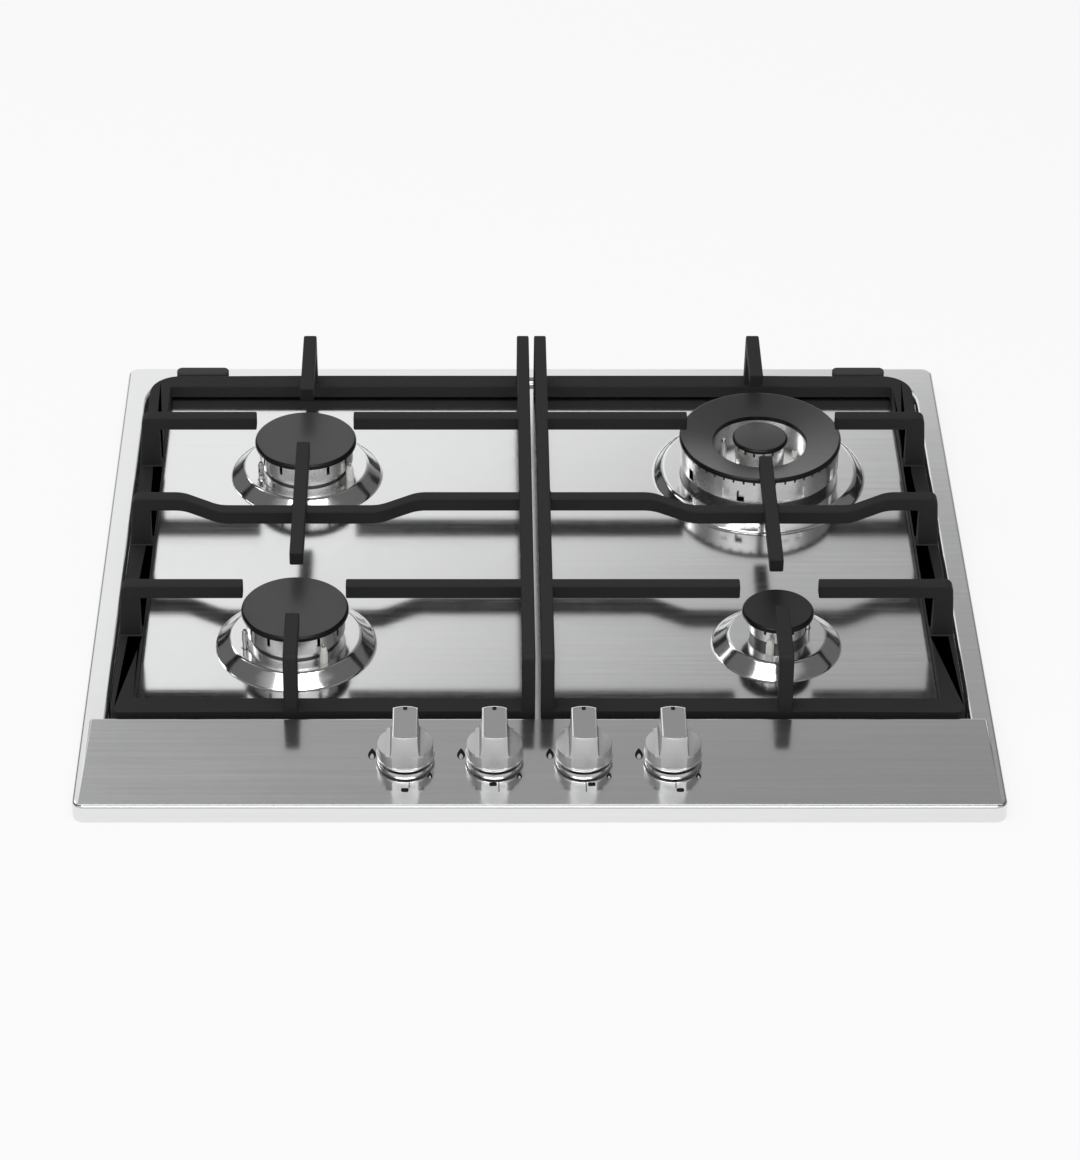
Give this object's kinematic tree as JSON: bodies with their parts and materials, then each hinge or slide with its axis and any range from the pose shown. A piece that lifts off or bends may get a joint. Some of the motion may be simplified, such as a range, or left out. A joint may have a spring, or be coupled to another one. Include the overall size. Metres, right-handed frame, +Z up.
{
  "type": "gas cooktop",
  "caption": "Built-in steel gas cooktop with capped burners, cast iron pan supports in two halves and front control knobs, let into a worktop cut-out.",
  "frame": {"origin": "centre of the worktop cut-out, on the worktop's surface", "axes": "+X to the right, +Y to the back, +Z up; the knobs are at the front, at -Y"},
  "size_m": [0.59, 0.52, 0.1025],
  "materials": {
    "steel_top": "brushed left to right",
    "zinc_steel": "zinc plated, dull",
    "foam_seal": "soft foam",
    "black_plastic": "fine grain",
    "brass": "machined",
    "lead_sleeve": "silicone sleeve",
    "copper_tube": "drawn tube",
    "white_ceramic": "glazed ceramic",
    "bright_steel": "polished",
    "black_enamel": "satin enamel",
    "cast_iron": "matt enamelled casting",
    "rubber_foot": "matt",
    "aluminium_tube": "drawn tube",
    "burner_casting": "die cast",
    "burner_crown": "die cast, machined rim",
    "knob_metal": "satin"
  },
  "bodies": {
    "hob": {"hob_top": "steel_top", "burner_box": "zinc_steel", "worktop_seal": "foam_seal", "hinge_cover_left": "black_plastic", "hinge_cover_right": "black_plastic", "worktop_clamps": "zinc_steel", "clamp_screws": "zinc_steel", "injectors": "brass", "burner_brackets": "zinc_steel", "cup_screws": "zinc_steel", "ignition_leads": "lead_sleeve", "thermocouple_leads": "copper_tube", "electrode_ceramics": "white_ceramic", "electrode_pins": "bright_steel", "thermocouples": "bright_steel", "knob_bezels": "black_plastic", "ignition_switch_strip": "black_plastic", "gas_manifold": "zinc_steel", "gas_pipes": "aluminium_tube", "gas_inlet_elbow": "brass", "spark_generator": "black_plastic", "mains_terminal_block": "black_plastic", "cable_gland": "black_plastic", "burner_cup_front_left": "burner_casting", "gas_tap_front_left": "brass", "burner_cup_rear_left": "burner_casting", "gas_tap_rear_left": "brass", "burner_cup_rear_right": "burner_casting", "gas_tap_rear_right": "brass", "burner_cup_front_right": "burner_casting", "gas_tap_front_right": "brass"},
    "tap_plug_front_left": {"tap_plug_front_left": "brass"},
    "knob_front_left": {"tap_spindle_front_left": "bright_steel", "knob_front_left": "knob_metal"},
    "tap_plug_rear_left": {"tap_plug_rear_left": "brass"},
    "knob_rear_left": {"tap_spindle_rear_left": "bright_steel", "knob_rear_left": "knob_metal"},
    "tap_plug_rear_right": {"tap_plug_rear_right": "brass"},
    "knob_rear_right": {"tap_spindle_rear_right": "bright_steel", "knob_rear_right": "knob_metal"},
    "tap_plug_front_right": {"tap_plug_front_right": "brass"},
    "knob_front_right": {"tap_spindle_front_right": "bright_steel", "knob_front_right": "knob_metal"},
    "burner_crown_front_left": {"burner_crown_front_left": "burner_crown"},
    "burner_cap_front_left": {"burner_cap_front_left": "black_enamel"},
    "burner_crown_rear_left": {"burner_crown_rear_left": "burner_crown"},
    "burner_cap_rear_left": {"burner_cap_rear_left": "black_enamel"},
    "burner_crown_rear_right": {"burner_crown_rear_right": "burner_crown"},
    "burner_cap_rear_right": {"burner_cap_rear_right": "black_enamel"},
    "burner_crown_front_right": {"burner_crown_front_right": "burner_crown"},
    "burner_cap_front_right": {"burner_cap_front_right": "black_enamel"},
    "inner_cap_rear_right": {"inner_cap_rear_right": "black_enamel"},
    "pan_support_left": {"pan_support_left": "cast_iron", "pan_support_feet_left": "rubber_foot"},
    "pan_support_right": {"pan_support_right": "cast_iron", "pan_support_feet_right": "rubber_foot"}
  },
  "joints": [
    {"name": "knob_turn_front_left", "type": "hinge", "parent": "hob", "child": "tap_plug_front_left", "pos_m": [-0.0852, -0.214, 0], "axis": [0, 0, 1], "range_deg": [0, 215]},
    {"name": "knob_push_front_left", "type": "slide", "parent": "tap_plug_front_left", "child": "knob_front_left", "axis": [0, 0, 1], "range_m": [-0.002, 0], "stiffness_N_per_m": 1200, "springref_m": 0.004},
    {"name": "knob_turn_rear_left", "type": "hinge", "parent": "hob", "child": "tap_plug_rear_left", "pos_m": [-0.0284, -0.214, 0], "axis": [0, 0, 1], "range_deg": [0, 215]},
    {"name": "knob_push_rear_left", "type": "slide", "parent": "tap_plug_rear_left", "child": "knob_rear_left", "axis": [0, 0, 1], "range_m": [-0.002, 0], "stiffness_N_per_m": 1200, "springref_m": 0.004},
    {"name": "knob_turn_rear_right", "type": "hinge", "parent": "hob", "child": "tap_plug_rear_right", "pos_m": [0.0284, -0.214, 0], "axis": [0, 0, 1], "range_deg": [0, 215]},
    {"name": "knob_push_rear_right", "type": "slide", "parent": "tap_plug_rear_right", "child": "knob_rear_right", "axis": [0, 0, 1], "range_m": [-0.002, 0], "stiffness_N_per_m": 1200, "springref_m": 0.004},
    {"name": "knob_turn_front_right", "type": "hinge", "parent": "hob", "child": "tap_plug_front_right", "pos_m": [0.0852, -0.214, 0], "axis": [0, 0, 1], "range_deg": [0, 215]},
    {"name": "knob_push_front_right", "type": "slide", "parent": "tap_plug_front_right", "child": "knob_front_right", "axis": [0, 0, 1], "range_m": [-0.002, 0], "stiffness_N_per_m": 1200, "springref_m": 0.004},
    {"name": "crown_lift_front_left", "type": "slide", "parent": "hob", "child": "burner_crown_front_left", "axis": [0, 0, 1], "range_m": [0, 0.0045]},
    {"name": "cap_lift_front_left", "type": "slide", "parent": "burner_crown_front_left", "child": "burner_cap_front_left", "axis": [0, 0, 1], "range_m": [0, 0.004]},
    {"name": "crown_lift_rear_left", "type": "slide", "parent": "hob", "child": "burner_crown_rear_left", "axis": [0, 0, 1], "range_m": [0, 0.0045]},
    {"name": "cap_lift_rear_left", "type": "slide", "parent": "burner_crown_rear_left", "child": "burner_cap_rear_left", "axis": [0, 0, 1], "range_m": [0, 0.004]},
    {"name": "crown_lift_rear_right", "type": "slide", "parent": "hob", "child": "burner_crown_rear_right", "axis": [0, 0, 1], "range_m": [0, 0.0035]},
    {"name": "cap_lift_rear_right", "type": "slide", "parent": "burner_crown_rear_right", "child": "burner_cap_rear_right", "axis": [0, 0, 1], "range_m": [0, 0.003]},
    {"name": "crown_lift_front_right", "type": "slide", "parent": "hob", "child": "burner_crown_front_right", "axis": [0, 0, 1], "range_m": [0, 0.0045]},
    {"name": "cap_lift_front_right", "type": "slide", "parent": "burner_crown_front_right", "child": "burner_cap_front_right", "axis": [0, 0, 1], "range_m": [0, 0.004]},
    {"name": "inner_cap_lift_rear_right", "type": "slide", "parent": "burner_crown_rear_right", "child": "inner_cap_rear_right", "axis": [0, 0, 1], "range_m": [0, 0.003]},
    {"name": "pan_support_lift_left", "type": "slide", "parent": "hob", "child": "pan_support_left", "axis": [0, 0, 1], "range_m": [0, 0.06]},
    {"name": "pan_support_lift_right", "type": "slide", "parent": "hob", "child": "pan_support_right", "axis": [0, 0, 1], "range_m": [0, 0.06]}
  ]
}
